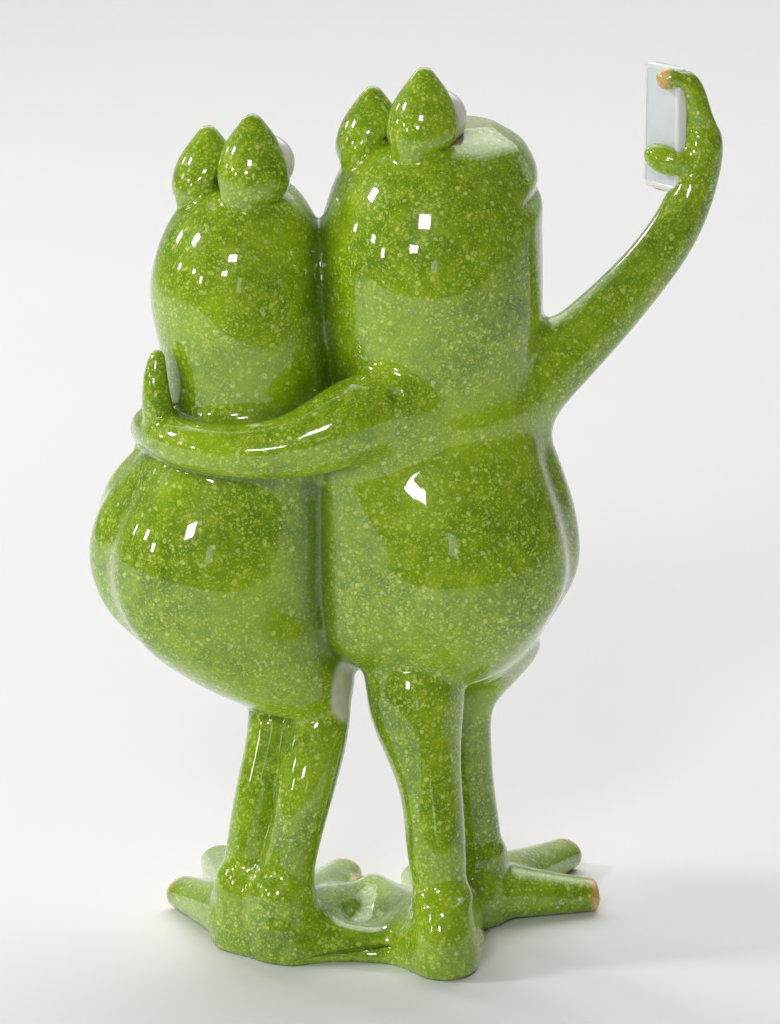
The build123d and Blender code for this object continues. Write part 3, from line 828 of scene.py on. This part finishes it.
def phone_material():
    """White gloss shell, a pale blue-grey screen and dark glass over the lens, by a face's print number."""
    material, nodes, links, shader = new_material("phone_white")
    place = add_node(nodes, "ShaderNodeTexCoord").outputs["Object"]
    kind = add_node(nodes, "ShaderNodeAttribute", attribute_name="print").outputs["Fac"]
    drift = add_node(nodes, "ShaderNodeTexNoise", in_Scale=260.0, in_Detail=3.0)
    links.new(place, drift.inputs["Vector"])
    shell = mixed(nodes, links, drift.outputs["Fac"], (0.84, 0.84, 0.84, 1), (0.92, 0.92, 0.91, 1))
    screen = mixed(nodes, links, drift.outputs["Fac"], (0.66, 0.71, 0.76, 1), (0.78, 0.82, 0.86, 1))
    colour = mixed(nodes, links, ramp(nodes, links, kind, 0.4, 0.6), shell, screen)
    colour = mixed(nodes, links, ramp(nodes, links, kind, 1.4, 1.6), colour, (0.012, 0.014, 0.018, 1))
    links.new(colour, shader.inputs["Base Color"])
    shader.inputs["Roughness"].default_value = 0.30
    shader.inputs["Coat Weight"].default_value = 1.0
    shader.inputs["Coat Roughness"].default_value = 0.05
    return material


def phone_mesh():
    """Rounded slab with its screen sunk a little on the frogs' side and a lens ring on the other."""
    edge, bezel, groove, lens = 0.0005, 0.0010, 0.00015, 0.0012
    shape, _ = node_mesh("phone")
    low, high = shape.min(axis=0), shape.max(axis=0)
    spot = (low + high) / 2
    flat = (shape - spot)[:, :2]
    _, axes = np.linalg.eigh(flat.T @ flat)
    thin, up = np.append(axes[:, 0], 0), np.array([0, 0, 1])
    face_low, face_high = box_of("tall_frog_head")
    if thin @ ((face_low + face_high) / 2 - spot) < 0:
        thin = -thin
    wide = np.cross(up, thin)
    half_wide, half_thin = np.abs((shape - spot) @ wide).max(), np.abs((shape - spot) @ thin).max()
    half_tall = (high[2] - low[2]) / 2
    corner = 0.27 * half_wide

    def ring(inset, level):
        bend = corner - inset
        spots = []
        for quarter, (side, end) in enumerate(((1, 1), (-1, 1), (-1, -1), (1, -1))):
            for k in range(7):
                turn = (quarter + k / 6) * pi / 2
                across = side * (half_wide - inset - bend) + bend * cos(turn)
                along = end * (half_tall - inset - bend) + bend * sin(turn)
                spots.append(spot + across * wide + along * up + level * thin)
        return spots

    def disc(radius, level):
        centre = spot + 0.45 * half_wide * wide + 0.70 * half_tall * up + level * thin
        turns = [k / 24 * 2 * pi for k in range(24)]
        return [centre + radius * (cos(t) * wide + sin(t) * up) for t in turns]

    round_edge = [(edge * (1 - sin(k * pi / 8)), edge * (1 - cos(k * pi / 8))) for k in range(5)]
    slab = [ring(inset, rise - half_thin) for inset, rise in round_edge]
    slab += [ring(inset, half_thin - rise) for inset, rise in reversed(round_edge)]
    slab += [ring(bezel, half_thin), ring(bezel + groove, half_thin - groove)]
    camera_ring = [disc(lens, groove - half_thin), disc(lens, -2 * groove - half_thin)]
    camera_ring += [disc(0.7 * lens, -2 * groove - half_thin), disc(0.65 * lens, -groove - half_thin)]
    mesh = bmesh.new()
    prints = mesh.faces.layers.float.new("print")
    for stack, caps, turned in ((slab, (0, 1), False), (camera_ring, (None, 2), True)):
        loops = [[mesh.verts.new(p) for p in row] for row in stack]
        faces = []
        for lower, upper in zip(loops, loops[1:]):
            for a, b, c, d in zip(lower, lower[1:] + lower[:1], upper[1:] + upper[:1], upper):
                faces.append((mesh.faces.new((a, b, c, d)), 0))
        if caps[0] is not None:
            faces.append((mesh.faces.new(loops[0][::-1]), caps[0]))
        faces.append((mesh.faces.new(loops[-1]), caps[1]))
        for face, kind in faces:
            face[prints] = kind
            face.smooth = len(face.verts) == 4
            if turned:
                face.normal_flip()
    result = bpy.data.meshes.new("phone_shell")
    mesh.to_mesh(result)
    mesh.free()
    result.set_sharp_from_angle(angle=radians(40))
    return result


mesh = phone_mesh()
mesh.materials.append(phone_material())
put("phone_shell", mesh, "phone")

# Stage: a pale table that ends in front of the pair, and a pale wall well behind it
TABLE_FRONT, TABLE_BACK, TABLE_SIDE, WALL_TOP = -0.62, 1.90, 2.40, 2.40
stage_paint = plain_material("stage_white", (0.86, 0.86, 0.855, 1), (0.89, 0.89, 0.885, 1), 3.0, 0.6)
shape = bmesh.new()
rows = [(TABLE_FRONT, 0), (TABLE_BACK, 0)]
for i in range(1, 9):
    turn = i / 8 * pi / 2
    rows.append((TABLE_BACK + 0.3 * sin(turn), 0.3 * (1 - cos(turn))))
rows.append((TABLE_BACK + 0.3, WALL_TOP))
edge = [(shape.verts.new((-TABLE_SIDE, y, z)), shape.verts.new((TABLE_SIDE, y, z))) for y, z in rows]
for (a, b), (c, d) in zip(edge, edge[1:]):
    shape.faces.new((a, b, d, c))
mesh = bpy.data.meshes.new("table")
shape.to_mesh(mesh)
shape.free()
mesh.shade_smooth()
mesh.materials.append(stage_paint)
table = bpy.data.objects.new("table", mesh)
bpy.context.scene.collection.objects.link(table)
table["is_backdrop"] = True

# Light: a broad soft lamp overhead, brighter in the middle, and small ones behind the camera and to the left
middle = (cad_low + cad_high) / 2


def lamp(name, way, distance, size, watts, colour=(1, 1, 1)):
    light = bpy.data.lights.new(name, "AREA")
    light.color = colour
    light.shape = "RECTANGLE"
    light.size, light.size_y = size
    light.energy = watts
    thing = bpy.data.objects.new(name, light)
    way = Vector(way).normalized()
    thing.location = Vector(middle) + way * distance
    thing.rotation_euler = way.to_track_quat("Z", "Y").to_euler()
    bpy.context.scene.collection.objects.link(thing)


OVERHEAD = (0.05, 0.75, 1.0)
lamp("soft_overhead_wide", OVERHEAD, 2.30, (3.4, 2.8), 23.0)
lamp("soft_overhead_mid", OVERHEAD, 2.28, (2.7, 2.1), 14.0)
lamp("soft_overhead_core", OVERHEAD, 2.26, (2.0, 1.4), 7.0)
lamp("lamp_back_left", (-0.512, 0.70, 0.496), 1.1, (0.14, 0.16), 1.0)
lamp("lamp_far_left", (-0.828, 0.414, 0.379), 1.3, (0.14, 0.13), 0.8)
lamp("lamp_left", (-0.82, -0.06, 0.565), 1.3, (0.16, 0.18), 5.0)
lamp("lamp_behind", (-0.16, -0.85, 0.50), 1.3, (0.26, 0.17), 3.4)
lamp("lamp_behind_low", (-0.33, -0.91, 0.25), 1.3, (0.18, 0.10), 1.4)
lamp("lamp_side", (-0.968, 0.04, 0.235), 1.3, (0.10, 0.09), 0.6)
lamp("lamp_side_low", (-0.885, -0.39, 0.25), 1.3, (0.10, 0.09), 0.6)
lamp("lamp_corner", (-0.79, -0.59, 0.16), 1.3, (0.09, 0.11), 0.6)
lamp("lamp_window", (0.03, -0.99, 0.08), 1.3, (0.14, 0.13), 0.11, (0.78, 0.90, 1.0))

world = bpy.data.worlds.new("room")
bpy.context.scene.world = world
world.use_nodes = True
world.node_tree.nodes["Background"].inputs["Color"].default_value = (0.10, 0.10, 0.10, 1)

# Camera: behind the pair, a little above, through a long lens
IMAGE_HEIGHT = 1024
CAMERA_RISE = radians(14.0)
CAMERA_AWAY = 0.850
PIXELS_PER_METRE = 5250.0
aim = np.array([0.0, 0.004, 0.084])
camera = bpy.data.cameras.new("camera")
camera.sensor_width = 36.0
camera.lens = PIXELS_PER_METRE * CAMERA_AWAY * camera.sensor_width / IMAGE_HEIGHT
seat = bpy.data.objects.new("camera", camera)
back = Vector((0, -cos(CAMERA_RISE), sin(CAMERA_RISE)))
seat.location = Vector(aim) + back * CAMERA_AWAY
seat.rotation_euler = back.to_track_quat("Z", "Y").to_euler()
bpy.context.scene.collection.objects.link(seat)
bpy.context.scene.camera = seat
bpy.context.scene.view_settings.view_transform = "Standard"

visual_low, visual_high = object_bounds()
sizes = {
    "cad": [list(map(float, cad_low)), list(map(float, cad_high))],
    "visual": [list(visual_low), list(visual_high)],
}
